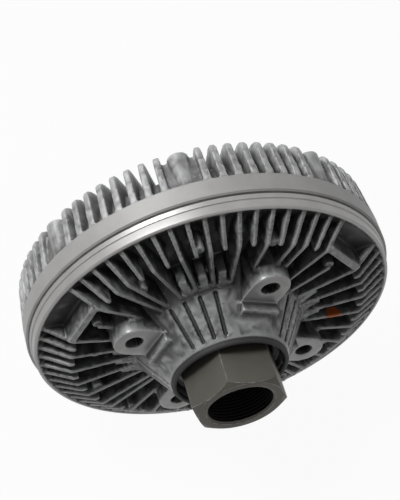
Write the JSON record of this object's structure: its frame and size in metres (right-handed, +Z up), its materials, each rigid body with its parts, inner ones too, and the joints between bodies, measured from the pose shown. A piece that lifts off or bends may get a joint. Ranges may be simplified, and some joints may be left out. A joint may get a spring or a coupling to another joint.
{
  "type": "viscous fan clutch",
  "caption": "Finned viscous fan clutch: a cast housing with fan bolt bosses spins on a bearing round a hex drive nut, driven through a fluid-sheared rotor and a temperature coil valve.",
  "frame": {"origin": "centre of the drive thread at its mouth in the hex nut", "axes": "spin axis along Y, -Y out of the thread mouth towards the engine, +Y towards the radiator, +Z up"},
  "size_m": [0.217, 0.105, 0.217],
  "materials": {
    "cast_aluminium": "as-cast, rim bands and pads machined",
    "machined_aluminium": "turned",
    "phosphated_steel": "dark phosphate with worn edges",
    "plain_steel": "plain",
    "bearing_steel": "ground",
    "brass_cage": "machined",
    "black_rubber": "moulded",
    "wiper_plastic": "moulded",
    "bimetal": "rolled strip"
  },
  "bodies": {
    "drive": {"drive_shaft": "phosphated_steel", "bearing_inner_race": "bearing_steel", "rotor": "machined_aluminium", "rotor_retainer": "plain_steel"},
    "housing": {"rear_body": "cast_aluminium", "front_cover": "cast_aluminium", "cover_seal": "black_rubber", "cover_screws": "plain_steel", "bearing_outer_race": "bearing_steel", "bearing_seals": "black_rubber", "bearing_snap_ring": "plain_steel", "dust_shield": "black_rubber", "pump_plate": "machined_aluminium", "pump_plate_screws": "plain_steel", "scavenge_wipers": "wiper_plastic", "wiper_rivets": "plain_steel", "valve_oring": "black_rubber", "bimetal_coil": "bimetal"},
    "ball_set": {"bearing_balls": "bearing_steel", "bearing_cage": "brass_cage"},
    "valve": {"valve_shaft": "plain_steel", "valve_arm": "plain_steel"}
  },
  "joints": [
    {"name": "housing_spin", "type": "hinge", "parent": "drive", "child": "housing", "pos_m": [0, 0.04, 0], "axis": [0, 1, 0], "continuous": true},
    {"name": "ball_orbit", "type": "hinge", "parent": "drive", "child": "ball_set", "pos_m": [0, 0.0438, 0], "axis": [0, 1, 0], "continuous": true},
    {"name": "valve_turn", "type": "hinge", "parent": "housing", "child": "valve", "pos_m": [0, 0.095, 0], "axis": [0, 1, 0], "range_deg": [0, 40], "stiffness_Nm_per_rad": 0.05, "deforming": ["bimetal_coil"]}
  ],
  "couplings": [
    {"joint": "ball_orbit", "follows": "housing_spin", "ratio": 0.603}
  ]
}
